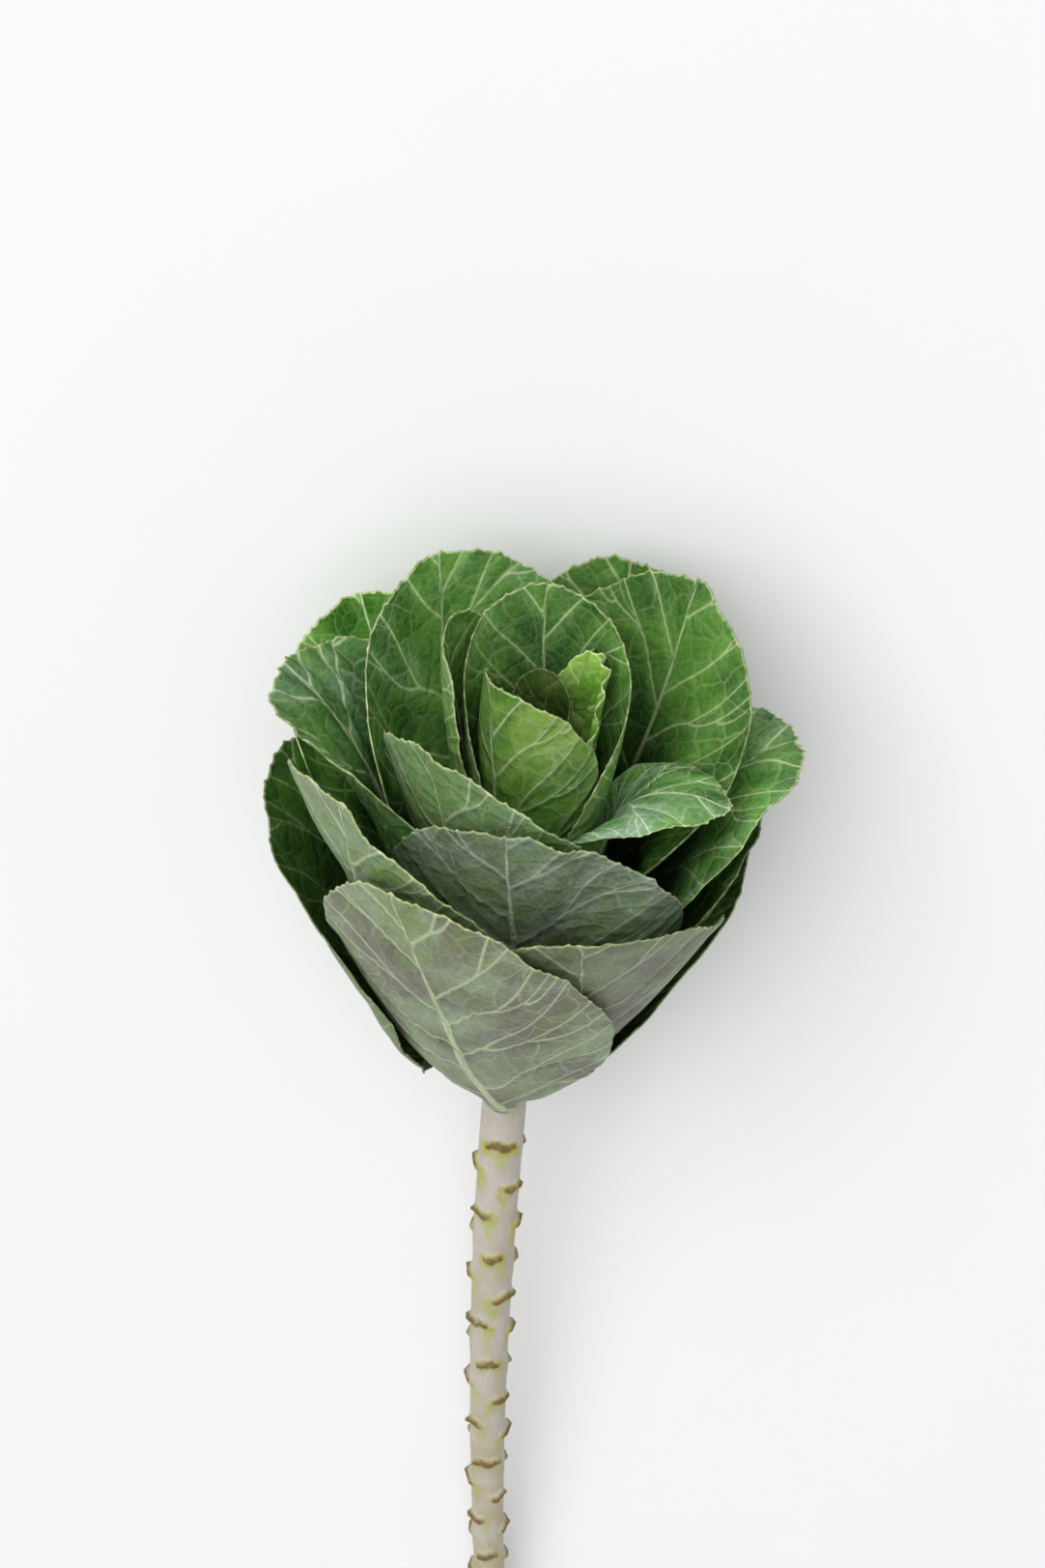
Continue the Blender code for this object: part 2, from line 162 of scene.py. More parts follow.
TONES = {  # of the leaves that don't have the usual one; each one's brightness and the darkening near the stem are painted light and shade
    "leaf_left_outer": Tone(1.0, 0.6, 0.05, 0.1, 0.3),
    "leaf_left_third": Tone(0.85, 1.05, 0.4, 0.5),
    "leaf_left_front": Tone(0.5, 1.08, 0.1, 0.4),
    "leaf_front_second": Tone(0.3, 0.8, 0.1, 0.9),
    "leaf_front_right": Tone(0.0, 0.82),
    "leaf_left_back": Tone(bright=1.45, hollow_shade=0.4),
    "leaf_inner_back": Tone(bright=0.9, wax=0.15, hollow_shade=1.1),
    "leaf_right_flap": Tone(bright=1.25, wax=0.8, wax_outside=0.4, hollow_shade=0.0),
    "leaf_left_turned": Tone(bright=0.98, wax=0.45, hollow_shade=0.9),
    "leaf_right_turned": Tone(bright=1.2, wax=0.3, hollow_shade=2.4),
    "leaf_back_left_tall": Tone(bright=1.15, wax=0.2, hollow_shade=0.0),
    "leaf_right_tall": Tone(bright=0.95, hollow_shade=1.7),
    "leaf_back_right_tall": Tone(bright=0.85),
    "leaf_heart_back": Tone(bright=0.36, wax=0.0),
    "leaf_heart_front": Tone(bright=0.88, hollow_shade=0.0),
    "leaf_heart_right": Tone(bright=1.45, wax=0.0, hollow_shade=0.8),
    "leaf_right": Tone(bright=0.55, hollow_shade=1.2),
    "leaf_back_right_low": Tone(bright=0.6, hollow_shade=1.0),
}

# Camera, in the plant's own upright frame
VIEW_DISTANCE = 600.0
VIEW_HEIGHT_ANGLE = 35.0
VIEW_ROLL = 5.0
VIEW_AIM = (-2.4, 0.0, 98.0)
MM_PER_PIXEL = 0.222  # at the aim
PHOTO_HEIGHT = 1623
SENSOR = 36.0

# Floor and lights, in metres
FLOOR_HALF, FLOOR_MOTTLE = 30.0, 0.06
LAMPS = (  # name, place from the head, width and share of the power
    ("window", (-1.7, 2.6, 4.2), 5.0, 0.95),
    ("fill", (-0.9, 0.6, 4.4), 5.0, 0.45),
)


class Leaf(NamedTuple):
    """One leaf. Angles are in degrees, and azimuth 0 is the front, 90 the right."""

    name: str
    colour: str
    azimuth: float
    base: float  # height of its seat on the stem
    length: float
    width: float
    lean: tuple  # from upright, at the root, the middle and the tip
    cup: float = 1.0  # radius of its cross section, as a share of its distance from the stem
    swing: float = 0.0  # turn of the blade on its stalk, seen from outside
    flare: tuple = (0.0, 0.0)  # how far the left and right edges roll out
    notch: float = 0.0  # how much less far the rim reaches at the tip, as a share
    bend: tuple = (0.38, 0.55)  # shares of the length where the first bend ends and the second starts


LEAVES = (
    Leaf("leaf_back_middle", "green_leaf", -176, -7, 108, 88, (64, 26, 16), cup=2.0, flare=(14, 19)),
    Leaf("leaf_left_outer", "grey_green_leaf", -115, 3, 105, 80, (58, 26, 30), swing=6),
    Leaf("leaf_back_right_low", "green_leaf", 130, 1, 98, 76, (56, 24, 16)),
    Leaf("leaf_back_left_low", "green_leaf", -152, 9, 104, 76, (54, 24, 12)),
    Leaf("leaf_front_left", "grey_green_leaf", -5, 5, 110, 72, (46, 24, 12), 1.1, -15, flare=(3, 0)),
    Leaf("leaf_front_right", "grey_green_leaf", 35, 9, 105, 88, (46, 26, 18), 1.1, -13, (0, 5), 0.08),
    Leaf("leaf_right", "green_leaf", 94, 13, 90, 66, (44, 28, 22), swing=-6),
    Leaf("leaf_left_front", "grey_green_leaf", -66, 14, 111, 78, (44, 24, 14), swing=8),
    Leaf("leaf_left_back", "green_leaf", -134, 18, 113, 78, (44, 22, 14)),
    Leaf("leaf_front_second", "grey_green_leaf", 1, 22, 106, 63, (34, 16, 18), 1.1, -3, notch=0.12),
    Leaf("leaf_back_right_tall", "green_leaf", 160, 24, 115, 50, (36, 16, 8)),
    Leaf("leaf_left_turned", "green_leaf", -98, 27, 106, 66, (38, 22, 54), swing=-4, flare=(0, -10)),
    Leaf("leaf_right_turned", "green_leaf", 108, 31, 111, 58, (38, 28, 88), 1.4, -4, (2, 4), 0.14, (0.38, 0.6)),
    Leaf("leaf_back_left_tall", "green_leaf", -151, 33, 109, 68, (32, 14, 12), cup=1.1, swing=4),
    Leaf("leaf_left_third", "grey_green_leaf", -30, 36, 93, 70, (30, 15, 10), 1.35, -8, (4, 0), 0.06),
    Leaf("leaf_right_tall", "green_leaf", 134, 37, 108, 74, (34, 22, 14), cup=1.05),
    Leaf("leaf_right_flap", "green_leaf", 70, 47, 84, 42, (14, 12, 90), 1.2, -3, (6, 10), bend=(0.36, 0.45)),
    Leaf("leaf_inner_left", "green_leaf", -113, 48, 89, 34, (24, 6, -8), cup=0.8),
    Leaf("leaf_inner_back", "green_leaf", 172, 50, 90, 72, (24, 8, 6), cup=0.9, swing=2),
    Leaf("leaf_heart_front", "heart_leaf", -6, 56, 77, 58, (20, 6, -4), 0.95, -12, (0, 9)),
    Leaf("leaf_heart_right", "heart_leaf", 124, 62, 68, 34, (24, 6, 4), 0.8, flare=(0, 2)),
    Leaf("leaf_heart_back", "heart_leaf", -178, 68, 58, 28, (12, 0, -8), cup=0.8),
    Leaf("leaf_heart_inner", "heart_leaf", 40, 72, 40, 18, (6, -2, -8), cup=0.9),
    Leaf("leaf_heart_least", "heart_leaf", -110, 75, 32, 14, (6, -2, -10), cup=0.9),
)


def linear(code):
    """An sRGB hex value as linear red, green and blue."""
    value = np.array([int(code[i : i + 2], 16) for i in (1, 3, 5)]) / 255
    return tuple(np.where(value <= 0.04045, value / 12.92, ((value + 0.055) / 1.055) ** 2.4).tolist())


def smooth(t):
    """A soft step from 0 to 1."""
    t = np.clip(t, 0.0, 1.0)
    return t * t * (3 - 2 * t)


def grid(across, along, crowding=1.0):
    """Points u from -1 to 1 across a leaf and v from 0 to 1 up it, closer near the rim by the crowding."""
    rows = 1 - (1 - np.linspace(0, 1, along + 1)) ** crowding
    return np.meshgrid(np.linspace(-1, 1, across + 1), rows, indexing="ij")


def crown_radius(z):
    """The stem's radius inside the head, which falls evenly from the neck's to the tip's."""
    return STEM_NECK_RADIUS + (STEM_CROWN_RADIUS - STEM_NECK_RADIUS) * np.clip(z / CROWN_HEIGHT, 0, 1)


def rim_teeth(leaf, u):
    """How much further out the rim is: teeth that are triangle waves to the power 1.5, on low scallops.

    A slow sine shifts the teeth and another sets each one's height. The scallops are two sines
    multiplied.
    """
    seed = leaf.azimuth * 0.37
    place = (u + 1) / 2 * TEETH + 0.3 * np.sin(40 * u + seed)
    point = 1 - 2 * np.abs((place + 0.5) % 1.0 - 0.5)
    uneven = 0.55 + 0.45 * np.sin(2.4 * np.round(place) + seed)
    scallop = np.sin(8.3 * np.pi * u + seed) * np.sin(3.1 * np.pi * u + 2 * seed)
    return (TOOTH_HEIGHT * point**1.5 * uneven + SCALLOP_HEIGHT * scallop) * leaf.length / USUAL_LENGTH


def flat_outline(leaf, u, v, teeth=False):
    """The unbent leaf: x across, y along, the angle of each ray and how far out on it a point is.

    The blade's rays fan out from the top of the stalk to an egg-shaped rim, broad end up, and the
    rows of points run from the stalk's top to that rim. With teeth, the rim's reach grows by them.
    """
    stalk = STALK_SHARE * leaf.length
    scale = (leaf.length - stalk) / (1 + BROADNESS)
    ray = np.radians(FAN) * u
    reach = scale * (BROADNESS * np.cos(ray) + np.sqrt(1 - (BROADNESS * np.sin(ray)) ** 2))
    reach = reach * (1 - leaf.notch * np.exp(-((ray / 0.5) ** 2)))
    if teeth:
        reach = reach + rim_teeth(leaf, u)
    rim_x = reach * np.sin(ray) * leaf.width / 2 / scale
    rim_y = reach * np.cos(ray)
    turn = np.radians(leaf.swing)
    rim_x, rim_y = (
        rim_x * np.cos(turn) + rim_y * np.sin(turn),
        stalk + rim_y * np.cos(turn) - rim_x * np.sin(turn),
    )
    out = np.clip((v - STALK_ROWS) / (1 - STALK_ROWS), 0, 1)
    root_x = u * STALK_WIDTH / 2
    x = root_x + (rim_x - root_x) * out
    y = np.where(v < STALK_ROWS, stalk * v / STALK_ROWS, stalk + (rim_y - stalk) * out)
    return x, y, ray, out


def midline(leaf):
    """Distance along the midrib, and its radius, height and lean there, by adding up short steps."""
    lean_root, lean_middle, lean_tip = np.radians(leaf.lean)
    first, second = leaf.bend
    along = np.linspace(0, 1.1 * leaf.length, 400)
    share = along / leaf.length
    lean = (
        lean_root
        + (lean_middle - lean_root) * smooth(share / first)
        + (lean_tip - lean_middle) * smooth((share - second) / (1 - second))
    )
    step = along[1]
    seat = crown_radius(leaf.base) + SEAT_GAP + FRAME_BLADE / 2 * np.cos(lean_root)
    radius = seat + np.concatenate([[0], np.cumsum(np.sin(lean[:-1]) * step)])
    height = leaf.base + np.concatenate([[0], np.cumsum(np.cos(lean[:-1]) * step)])
    return along, radius, height, lean


def blade_middle(leaf, u, v, relief=None):
    """The blade's middle surface before it is bent clear of the others.

    Each row across is an arc round the plant's axis, whose radius is the cup share of the midrib's
    distance from it. The edges roll out by the flare, growing with the square of the distance from
    the midrib, and the rim has a low wave. The relief, if any, is added outwards.
    """
    x, y, ray, out = flat_outline(leaf, u, v, teeth=relief is not None)
    along, radius, height, lean = midline(leaf)
    radius, height, lean = (np.interp(y, along, values) for values in (radius, height, lean))
    arc = leaf.cup * np.maximum(radius, 6.0)
    sideways = arc * np.sin(x / arc)
    inward = arc * (1 - np.cos(x / arc))
    side = x / (leaf.width / 2)
    flare = np.where(side < 0, leaf.flare[0], leaf.flare[1])
    lift = flare * side**2 * smooth(1.3 * y / leaf.length) + WAVE_HEIGHT * np.sin(WAVES * ray) * out**3
    if relief is not None:
        lift = lift + relief
    facing = np.radians(leaf.azimuth)
    ahead = np.array([np.sin(facing), -np.cos(facing), 0.0])
    across = np.array([np.cos(facing), np.sin(facing), 0.0])
    up = np.array([0.0, 0.0, 1.0])
    outward = ahead * np.cos(lean)[..., None] - up * np.sin(lean)[..., None]
    return (
        ahead * radius[..., None]
        + up * height[..., None]
        + across * sideways[..., None]
        - outward * (inward - lift)[..., None]
    )


def rib_depth(leaf, u, v):
    """How much thicker the leaf is behind its stalk and midrib."""
    x, _, _, out = flat_outline(leaf, u, v)
    small = leaf.length / USUAL_LENGTH
    stalk = STALK_DEPTH * small * (1 - smooth((v - 0.02) / 0.3)) * np.sqrt(1 - 0.75 * u**2)
    rib = RIB_DEPTH * small * (1 - v) * np.exp(-((x / RIB_HALF_WIDTH) ** 2))
    return np.where(out > 0, np.maximum(stalk * np.exp(-((x / 5.0) ** 2)), rib), stalk)


def map_cells(points):
    """The sector and row of the map that each point lies in."""
    turn = np.arctan2(points[..., 0], -points[..., 1]) / (2 * np.pi)
    sector = np.floor((turn % 1.0) * MAP_SECTORS).astype(int) % MAP_SECTORS
    row = np.clip(np.floor(points[..., 2] - MAP_FOOT).astype(int), 0, MAP_ROWS - 1)
    return sector, row


def neighbours(field, axis, wraps):
    """The field moved one place each way along an axis, its ends repeated unless it wraps round."""
    before, after = np.roll(field, 1, axis), np.roll(field, -1, axis)
    if not wraps:
        first = (0,) if axis == 0 else (slice(None), 0)
        last = (-1,) if axis == 0 else (slice(None), -1)
        before[first] = field[first]
        after[last] = field[last]
    return before, after


def widened(field, steps, wraps=(False, False)):
    """Each value becomes the largest within so many steps."""
    for axis in (0, 1):
        for _ in range(steps):
            field = np.maximum(field, np.maximum(*neighbours(field, axis, wraps[axis])))
    return field


def softened(field, steps):
    """Each value is averaged with its neighbours, so many times."""
    for axis in (0, 1):
        for _ in range(steps):
            before, after = neighbours(field, axis, False)
            field = (before + 2 * field + after) / 4
    return field


def read_field(field, u, v):
    """A square field over a leaf, read between its points."""
    last = field.shape[0] - 1
    a = np.clip((u + 1) / 2 * last, 0, last - 1e-9)
    b = np.clip(v * last, 0, last - 1e-9)
    i, j = a.astype(int), b.astype(int)
    a, b = a - i, b - j
    low = field[i, j] * (1 - a) + field[i + 1, j] * a
    high = field[i, j + 1] * (1 - a) + field[i + 1, j + 1] * a
    return low * (1 - b) + high * b


def moved_out(points, distance):
    """Points moved straight away from the plant's axis."""
    radius = np.hypot(points[..., 0], points[..., 1])
    scale = 1 + distance / np.maximum(radius, 1e-6)
    return points * np.stack([scale, scale, np.ones_like(scale)], -1)


def nest(leaves):
    """How far out each leaf is bent to lie on those inside it, as a field over the leaf.

    A map holds how far out the leaves placed so far reach, by direction and height. Working from
    the heart outwards, a leaf is moved out wherever the map comes within a layer of it. The bend
    fades up the leaf, and is widened and then softened by less, so that it stays enough. The map
    starts with the stem in it.
    """
    rows = MAP_FOOT + np.arange(MAP_ROWS)
    stem = np.where(rows < CROWN_HEIGHT + STEM_TIP_DOME, crown_radius(rows) - FRAME_BLADE / 2, 0)
    reached = np.tile(stem, (MAP_SECTORS, 1))
    bends = {}
    u, v = grid(BEND_POINTS - 1, BEND_POINTS - 1)
    fine_u, fine_v = grid(TRACE_POINTS - 1, TRACE_POINTS - 1)
    for leaf in reversed(leaves):
        points = blade_middle(leaf, u, v)
        inside = widened(reached, 1, (True, False))[map_cells(points)]
        gap = inside + LAYER_STEP - np.hypot(points[..., 0], points[..., 1])
        bend = np.where(inside > 0, np.maximum(gap, 0), 0)
        bend[:, 0] = 0
        for row in range(1, BEND_POINTS):
            bend[:, row] = np.maximum(bend[:, row], bend[:, row - 1] * LAYER_FADE)
        bends[leaf.name] = softened(widened(bend, 3), 5) * np.clip(v / 0.1, 0, 1)
        traced = moved_out(blade_middle(leaf, fine_u, fine_v), read_field(bends[leaf.name], fine_u, fine_v))
        radius = np.hypot(traced[..., 0], traced[..., 1]) + rib_depth(leaf, fine_u, fine_v)
        np.maximum.at(reached, map_cells(traced), radius)
    return bends


def vein_lines(leaf, x, y):
    """Where the veins run: three phases that are whole numbers along a vein, and their pitch in mm.

    A side vein leaves the midrib at height h and rises as h + slope * |x| + bow * |x|**2, steeper
    towards the tip. The first phase numbers these veins by h. The second and third drift away from
    the first towards the rim, so that each vein forks there, twice. Slow waves keep them uneven.
    """
    foot_slope, more_slope, bow = 0.3, 1.1, 0.006
    veins, crowding, below_stalk = 6.6, 0.85, 0.16
    sway, long_wander, short_wander = 1.4, 1.9, 1.2  # of the midrib and of side veins, in mm
    fork_place, fork_spread, next_fork = 0.32, 0.14, 0.25  # shares of the half width
    seed = leaf.azimuth * 0.7 + leaf.base
    size = leaf.length * (1 - STALK_SHARE)
    turn = np.radians(leaf.swing)
    rise = y - STALK_SHARE * leaf.length
    side = x * np.cos(turn) - rise * np.sin(turn)
    rise = rise * np.cos(turn) + x * np.sin(turn)
    side = side + sway * np.sin(rise / 21.0 + seed) * smooth(rise / 30.0)
    off = np.abs(side)
    hand = np.where(side > 0, 1.0, -1.0)
    wander = long_wander * np.sin(off / 7.5 + rise / 15.0 + seed * hand)
    wander = wander + short_wander * np.sin(off / 3.9 - rise / 9.0 + 2 * seed)
    rise = rise + wander * smooth(off / 12.0)
    height = (rise - foot_slope * off - bow * off**2) / (1 + more_slope * off / size)
    share = np.maximum(height / size + below_stalk, 1e-3)
    count = veins * np.sqrt(leaf.length / USUAL_LENGTH)
    phase = count * share**crowding + 0.23 * (1 + hand)
    phase = phase + 0.16 * np.sin(2.1 * phase + seed * hand)
    slope = foot_slope + more_slope * height / size + 2 * bow * off
    steepness = count * crowding * share ** (crowding - 1) / size / (1 + more_slope * off / size)
    pitch = 1 / (steepness * np.sqrt(1 + slope**2))
    apart = off / (leaf.width / 2)
    fork = fork_place + fork_spread * np.sin(2.3 * phase + seed * hand)
    first = 1 - np.exp(-np.maximum(apart - fork, 0) / 0.2)
    second = 1 - np.exp(-np.maximum(apart - fork - next_fork, 0) / 0.16)
    lines = np.stack([phase + 0.22 * first, phase - 0.3 * first, phase + 0.22 * first + 0.26 * second], -1)
    return lines, spacing(lines, x, y, pitch), side, apart


def spacing(lines, x, y, usual):
    """Distance in mm between the veins of each family: 1 / the slope of its phase over the flat leaf.

    The slope along x and y comes from differences between grid points, by the chain rule. The
    distance stays between half the usual one and the widest gap.
    """
    widest = 16.0
    across_x, along_x = np.gradient(x)
    across_y, along_y = np.gradient(y)
    area = across_x * along_y - along_x * across_y
    area = np.where(np.abs(area) < 1e-6, 1e-6, area)[..., None]
    across, along = np.gradient(lines, axis=(0, 1))
    slope_x = (across * along_y[..., None] - along * across_y[..., None]) / area
    slope_y = (along * across_x[..., None] - across * along_x[..., None]) / area
    steep = np.maximum(np.hypot(slope_x, slope_y), 1e-3)
    return np.clip(1 / steep, 0.5 * usual[..., None], widest)


def leaf_faces(leaf, bends, thickness, across, along):
    """The inner and outer face of a leaf, as grids of points, and what its material reads there.

    To the bent blade, a softened sine adds a bulge between every two side veins, two sines that
    grow with the fourth power of the way out add ruffles, and a soft step rolls the rim outwards.
    The faces lie half a thickness to each side of it, and a bell curve raises the midrib.
    """
    u, v = grid(across, along, crowding=1.5)
    x, y, ray, out = flat_outline(leaf, u, v, teeth=True)
    lines, pitches, side, apart = vein_lines(leaf, x, y)
    tone = TONES.get(leaf.name, Tone())
    # Painted light and shade: the leaf's own brightness, with painted shade on the inner face towards the stem
    bright = tone.bright * np.maximum(1 - tone.hollow_shade * (1 - smooth(out / HOLLOW_REACH)), HOLLOW_LEAST)
    seed = leaf.azimuth + leaf.base
    small = leaf.length / USUAL_LENGTH
    free = smooth((out - 0.1) / 0.3)
    bulge = smooth(1.6 * np.abs(np.sin(np.pi * lines[..., 0]))) - 0.6
    quilt = QUILT_HEIGHT * small * bulge * free * (1 - 0.6 * out**4) * smooth(np.abs(x) / 5)
    slow, quick = RUFFLE_WAVES
    ruffle = np.sin(slow * ray + seed) + 0.7 * np.sin(quick * ray + 2 * seed)
    ruffle = RUFFLE_HEIGHT * small * out**4 * ruffle
    roll = RIM_ROLL * smooth((out - RIM_ROLL_FROM) / (1 - RIM_ROLL_FROM))
    pleat = np.sin(PLEAT_WAVES * side + 1.2 * np.sin(y / PLEAT_BENDS))
    pleat = PLEATS.get(leaf.name, 0.0) * free * pleat
    middle = blade_middle(leaf, u, v, relief=quilt + 0.5 * ruffle + roll + pleat)
    middle = moved_out(middle, read_field(bends[leaf.name], u, v))
    normal = np.cross(np.gradient(middle, axis=0), np.gradient(middle, axis=1))
    normal /= np.maximum(np.linalg.norm(normal, axis=-1, keepdims=True), 1e-9)
    half = thickness / 2 * (1 - 0.35 * out**6)
    rib_width = (MIDRIB_AT_TIP + (MIDRIB_AT_ROOT - MIDRIB_AT_TIP) * (1 - out) ** 1.5) * small
    ridge = MIDRIB_HEIGHT * small * (1 - out) * np.exp(-((side / (1.3 * rib_width)) ** 2)) * (out > 0)
    inner = middle - normal * (half + 0.3 * ridge)[..., None]
    outer = middle + normal * (half + rib_depth(leaf, u, v) + ridge)[..., None]
    rim = (1 - out) * leaf.length * 0.8
    own = PATTERN_APART * (LEAVES.index(leaf) + 1)
    reads = {
        "flat": np.stack([x + own, y, np.full_like(x, own)], -1),
        "veins": lines,
        "pitches": pitches / small,
        "gauge": np.stack([np.abs(side) / rib_width, rim, out], -1),
        # place: share of the half width, outer face or not, and the painted light and shade
        "place": np.stack([apart, np.zeros_like(x), bright], -1),
        "tone": np.ones((*x.shape, 3)) * (tone.green, tone.wax, 0.0),
    }
    return inner, outer, reads


def stem_centre(z):
    """The stem's centre line: straight inside the head, and bowed to the right below it."""
    return np.stack([STEM_BOW * (np.minimum(z, 0) / STEM_BELOW) ** 2, np.zeros_like(z), z], -1)


def scar_relief(z, turn):
    """How far the scars of fallen leaves stand out: ledges on a spiral, each with a low tail below."""
    share, below, half_height = SCAR_TAIL
    relief = np.zeros(np.broadcast(z, turn).shape)
    for count in range(int((STEM_BELOW + SCAR_TOP) / SCAR_PITCH)):
        above = z - (SCAR_TOP - count * SCAR_PITCH)
        beside = (turn - count * SCAR_TURN + 0.5) % 1.0 - 0.5
        ledge = np.exp(-((above / SCAR_HALF_HEIGHT) ** 2))
        tail = share * np.exp(-(((above + below) / half_height) ** 2))
        relief += SCAR_OUT * (ledge + tail) * np.exp(-((beside * 2 * np.pi / SCAR_HALF_TURN) ** 2))
    return relief


def stem_rows(step):
    """Heights of the stem's rings: even steps below the head, a few inside it and two in its domed tip."""
    below = np.arange(-STEM_BELOW, -2.0, step)
    inside = np.linspace(-1.0, CROWN_HEIGHT, 9)
    dome = CROWN_HEIGHT + STEM_TIP_DOME * np.sin(np.radians([30, 60]))
    return np.concatenate([below, inside, dome])


def bare_stem_radius(z):
    """The stem's radius without its scars: a soft step up to the neck, and half an ellipse at the tip."""
    radius = STEM_FOOT_RADIUS + (STEM_NECK_RADIUS - STEM_FOOT_RADIUS) * smooth(z / STEM_TAPER + 1)
    radius = np.where(z > 0, crown_radius(z), radius)
    return radius * np.sqrt(1 - (np.maximum(z - CROWN_HEIGHT, 0) / STEM_TIP_DOME) ** 2)


def stem_points(z, turn, radius):
    """Points of the stem at a height and a share of a turn from the front, at a radius."""
    angle = 2 * np.pi * turn
    ring = np.stack([np.sin(angle) * radius, -np.cos(angle) * radius, np.zeros_like(radius)], -1)
    return ring + stem_centre(z[:, 0])[:, None, :]


def frame_stem():
    """The stem's rings as the frame has them."""
    z = stem_rows(FRAME_STEM_STEP)[:, None]
    turn = np.arange(FRAME_STEM_SIDES)[None, :] / FRAME_STEM_SIDES
    return stem_points(z, turn, bare_stem_radius(z) + scar_relief(z, turn))


def tipped(points, angle):
    """Points turned back about X, so that the plant lies with its head towards +Y, raised by angle."""
    c, s = np.cos(angle), np.sin(angle)
    x, y, z = np.moveaxis(points, -1, 0)
    return np.stack([x, z * c + y * s, z * s - y * c], -1)


def lying_place():
    """The angle and the shift that lay the upright stem where the frame's stem is, by halving."""
    lowest, highest = (np.array(corner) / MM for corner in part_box("stem"))
    rings = frame_stem()
    low, high = 0.0, np.radians(30.0)
    for _ in range(40):
        angle = (low + high) / 2
        if np.ptp(tipped(rings, angle)[..., 2]) < highest[2] - lowest[2]:
            low = angle
        else:
            high = angle
    return angle, lowest - tipped(rings, angle).reshape(-1, 3).min(0)


LIE_ANGLE, LIE_SHIFT = lying_place()


def laid(points):
    """Upright points in mm laid where the plant lies, in mm."""
    return tipped(points, LIE_ANGLE) + LIE_SHIFT


def quads(rows, columns, closed=False):
    """The cells of a grid of points, numbered by rows, as quads. Closed joins the last row to the first."""
    index = np.arange(rows * columns).reshape(rows, columns)
    if closed:
        index = np.concatenate([index, index[:, :1]], 1)
    return np.stack([index[:-1, :-1], index[1:, :-1], index[1:, 1:], index[:-1, 1:]], -1).reshape(-1, 4)


def new_object(name, data):
    """An object of the scene that shows this data."""
    item = bpy.data.objects.new(name, data)
    bpy.context.scene.collection.objects.link(item)
    return item


def add_piece(name, points, faces, material, reads):
    """One smooth piece in place of the node of its name, with what its material reads at each point."""
    mesh = bpy.data.meshes.new(name)
    mesh.from_pydata((points * MM).tolist(), [], faces)
    mesh.materials.append(material)
    mesh.shade_smooth()
    for key, values in reads.items():
        attribute = mesh.attributes.new(key, "FLOAT_VECTOR", "POINT")
        attribute.data.foreach_set("vector", values.reshape(-1).astype(np.float32))
    piece = new_object(name + "_skin", mesh)
    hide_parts(name)
    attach(piece, "root")
    return piece


def add_leaf(leaf, bends, thickness, material):
    """A leaf as one closed piece: two faces and the strip that joins them round the rim."""
    cells = (SMALL_ACROSS, SMALL_ALONG) if leaf.length < SMALL_LENGTH else (ACROSS, ALONG)
    inner, outer, reads = leaf_faces(leaf, bends, thickness, *cells)
    rows, columns = inner.shape[:2]
    count = rows * columns
    index = np.arange(count).reshape(rows, columns)
    rim = np.concatenate([index[:, 0], index[-1, 1:], index[-2::-1, -1], index[0, -2:0:-1]])
    ahead = np.roll(rim, -1)
    face = quads(rows, columns)
    edge = np.stack([rim, ahead, ahead + count, rim + count], -1)
    faces = np.concatenate([face[:, ::-1], face + count, edge]).tolist()
    points = laid(np.concatenate([inner.reshape(-1, 3), outer.reshape(-1, 3)]))
    points[:count, 2] = np.maximum(points[:count, 2], thickness)
    points[count:, 2] = np.maximum(points[count:, 2], 0.0)
    both = {key: np.concatenate([values.reshape(-1, 3)] * 2) for key, values in reads.items()}
    tone = TONES.get(leaf.name, Tone())
    both["place"][count:, 1] = 1.0
    # the outer face takes the leaf's painted light and shade, but not the painted shade near the stem
    both["place"][count:, 2] = tone.bright
    both["tone"][count:, 1] = tone.wax_outside
    piece = add_piece(leaf.name, points, faces, material, both)


def add(tree, kind, inputs=(), output=0, **settings):
    """Adds a node, sets or links its inputs by name or number, and returns one of its outputs."""
    node = tree.nodes.new(kind)
    for key, value in settings.items():
        setattr(node, key, value)
    for key, value in dict(inputs).items():
        if isinstance(value, bpy.types.NodeSocket):
            tree.links.new(value, node.inputs[key])
        else:
            node.inputs[key].default_value = value
    return node.outputs[output]


def new_skin(name, **values):
    """An empty material: its node tree and its shader, with plain values set on the shader."""
    material = bpy.data.materials.new(name)
    material.use_nodes = True
    tree = material.node_tree
    shader = tree.nodes["Principled BSDF"]
    for socket in shader.inputs:
        key = socket.name.lower().replace(" ", "_")
        if key in values:
            socket.default_value = values[key]
    return material, tree, shader


